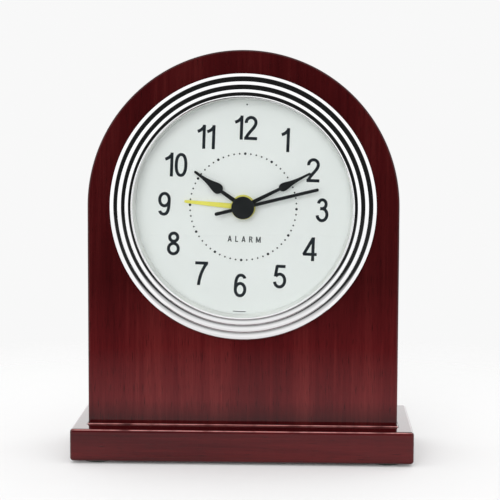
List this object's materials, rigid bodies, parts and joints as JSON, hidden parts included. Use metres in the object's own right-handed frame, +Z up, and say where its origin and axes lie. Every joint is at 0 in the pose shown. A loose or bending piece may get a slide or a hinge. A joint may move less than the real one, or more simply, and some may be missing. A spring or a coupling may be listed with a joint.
{
  "type": "mantel clock",
  "caption": "Arched wooden mantel clock on a rectangular base, with a stepped chrome bezel, white dial, four hands and a quartz alarm movement inside.",
  "frame": {"origin": "on the surface that the clock stands on, under the middle of the base", "axes": "+Z up, the dial faces -Y, +X to the right as seen from the front"},
  "size_m": [0.132, 0.056, 0.1585],
  "materials": {
    "case_lacquer": "gloss lacquer over straight vertical grain",
    "base_lacquer": "gloss lacquer over straight horizontal grain",
    "chrome": "polished",
    "lens_glass": "clear",
    "dial_white": "matt white",
    "white_plastic": "moulded",
    "black_plastic": "moulded, fine texture",
    "grey_plastic": "moulded, fine texture",
    "black_paint": "satin black",
    "yellow_paint": "satin yellow",
    "gear_plastic": "natural acetal",
    "steel": "bright steel",
    "brass": "rolled sheet",
    "copper_wire": "enamelled wire",
    "board_green": "solder mask",
    "cell_jacket": "printed jacket, plain",
    "beech": "bare",
    "felt": "felt",
    "rubber": "matt"
  },
  "bodies": {
    "case": {"case_body": "case_lacquer", "base_plinth": "base_lacquer", "bezel": "chrome", "lens": "lens_glass", "dial": "dial_white", "reflector_ring": "white_plastic", "middle_plate": "white_plastic", "coil_bobbin": "white_plastic", "insert_cup": "black_plastic", "driver_chip": "black_plastic", "movement_case": "grey_plastic", "back_cover": "grey_plastic", "case_screw_left": "steel", "case_screw_right": "steel", "cover_screw_1": "steel", "cover_screw_2": "steel", "cover_screw_3": "steel", "cover_screw_4": "steel", "movement_screw_left": "steel", "movement_screw_right": "steel", "stator": "steel", "coil_core": "steel", "quartz_crystal": "steel", "contact_negative": "steel", "contact_positive": "steel", "sounder_disc": "brass", "alarm_contact": "brass", "coil_winding": "copper_wire", "circuit_board": "board_green", "battery": "cell_jacket", "dowel_left": "beech", "dowel_right": "beech", "felt_pad_front_left": "felt", "felt_pad_front_right": "felt", "felt_pad_rear_left": "felt", "felt_pad_rear_right": "felt", "grip_ring": "rubber"},
    "seconds": {"second_wheel": "gear_plastic", "second_hand": "black_paint", "hand_cap": "black_paint"},
    "fifth": {"fifth_wheel": "gear_plastic"},
    "rotor": {"rotor_magnet": "steel", "rotor_pinion": "gear_plastic"},
    "third": {"third_wheel": "gear_plastic"},
    "centre": {"centre_wheel": "gear_plastic"},
    "minutes": {"cannon_pinion": "gear_plastic", "minute_hand": "black_paint"},
    "minute_gear": {"minute_wheel": "gear_plastic"},
    "hours": {"hour_wheel": "gear_plastic", "hour_hand": "black_paint"},
    "time_setting": {"time_set_wheel": "gear_plastic", "time_knob": "black_plastic"},
    "alarm": {"alarm_wheel": "gear_plastic", "alarm_hand": "yellow_paint"},
    "alarm_setting": {"alarm_set_wheel": "gear_plastic", "alarm_knob": "black_plastic"},
    "switch": {"switch_slider": "black_plastic"},
    "door": {"battery_door": "grey_plastic"}
  },
  "joints": [
    {"name": "seconds_spin", "type": "hinge", "parent": "case", "child": "seconds", "pos_m": [0, 0, 0.0985], "axis": [0, 1, 0], "continuous": true},
    {"name": "fifth_spin", "type": "hinge", "parent": "case", "child": "fifth", "pos_m": [0.0036, 0, 0.10474], "axis": [0, 1, 0], "continuous": true},
    {"name": "rotor_spin", "type": "hinge", "parent": "case", "child": "rotor", "pos_m": [0.00675, 0, 0.11019], "axis": [0, 1, 0], "continuous": true},
    {"name": "third_spin", "type": "hinge", "parent": "case", "child": "third", "pos_m": [-0.00177, 0, 0.10855], "axis": [0, 1, 0], "continuous": true},
    {"name": "centre_spin", "type": "hinge", "parent": "case", "child": "centre", "pos_m": [0, 0, 0.0985], "axis": [0, 1, 0], "continuous": true},
    {"name": "minutes_spin", "type": "hinge", "parent": "case", "child": "minutes", "pos_m": [0, 0, 0.0985], "axis": [0, 1, 0], "continuous": true},
    {"name": "minute_gear_spin", "type": "hinge", "parent": "case", "child": "minute_gear", "pos_m": [0.00874, 0, 0.10248], "axis": [0, 1, 0], "continuous": true},
    {"name": "hours_spin", "type": "hinge", "parent": "case", "child": "hours", "pos_m": [0, 0, 0.0985], "axis": [0, 1, 0], "continuous": true},
    {"name": "time_setting_spin", "type": "hinge", "parent": "case", "child": "time_setting", "pos_m": [0.016, 0, 0.0962], "axis": [0, 1, 0], "continuous": true},
    {"name": "alarm_spin", "type": "hinge", "parent": "case", "child": "alarm", "pos_m": [0, 0, 0.0985], "axis": [0, 1, 0], "continuous": true},
    {"name": "alarm_setting_spin", "type": "hinge", "parent": "case", "child": "alarm_setting", "pos_m": [-0.0133, 0, 0.0962], "axis": [0, 1, 0], "continuous": true},
    {"name": "switch_slide", "type": "slide", "parent": "case", "child": "switch", "axis": [1, 0, 0], "range_m": [0, 0.004]},
    {"name": "door_hinge", "type": "hinge", "parent": "case", "child": "door", "pos_m": [0, 0.00315, 0.0728], "axis": [-1, 0, 0], "range_deg": [0, 90]}
  ],
  "couplings": [
    {"joint": "fifth_spin", "follows": "seconds_spin", "ratio": -5},
    {"joint": "rotor_spin", "follows": "seconds_spin", "ratio": 30},
    {"joint": "third_spin", "follows": "seconds_spin", "ratio": -0.13333},
    {"joint": "centre_spin", "follows": "seconds_spin", "ratio": 0.016667},
    {"joint": "minute_gear_spin", "follows": "minutes_spin", "ratio": -0.33333},
    {"joint": "hours_spin", "follows": "minutes_spin", "ratio": 0.083333},
    {"joint": "time_setting_spin", "follows": "minutes_spin", "ratio": 1},
    {"joint": "alarm_setting_spin", "follows": "alarm_spin", "ratio": -1.5}
  ]
}
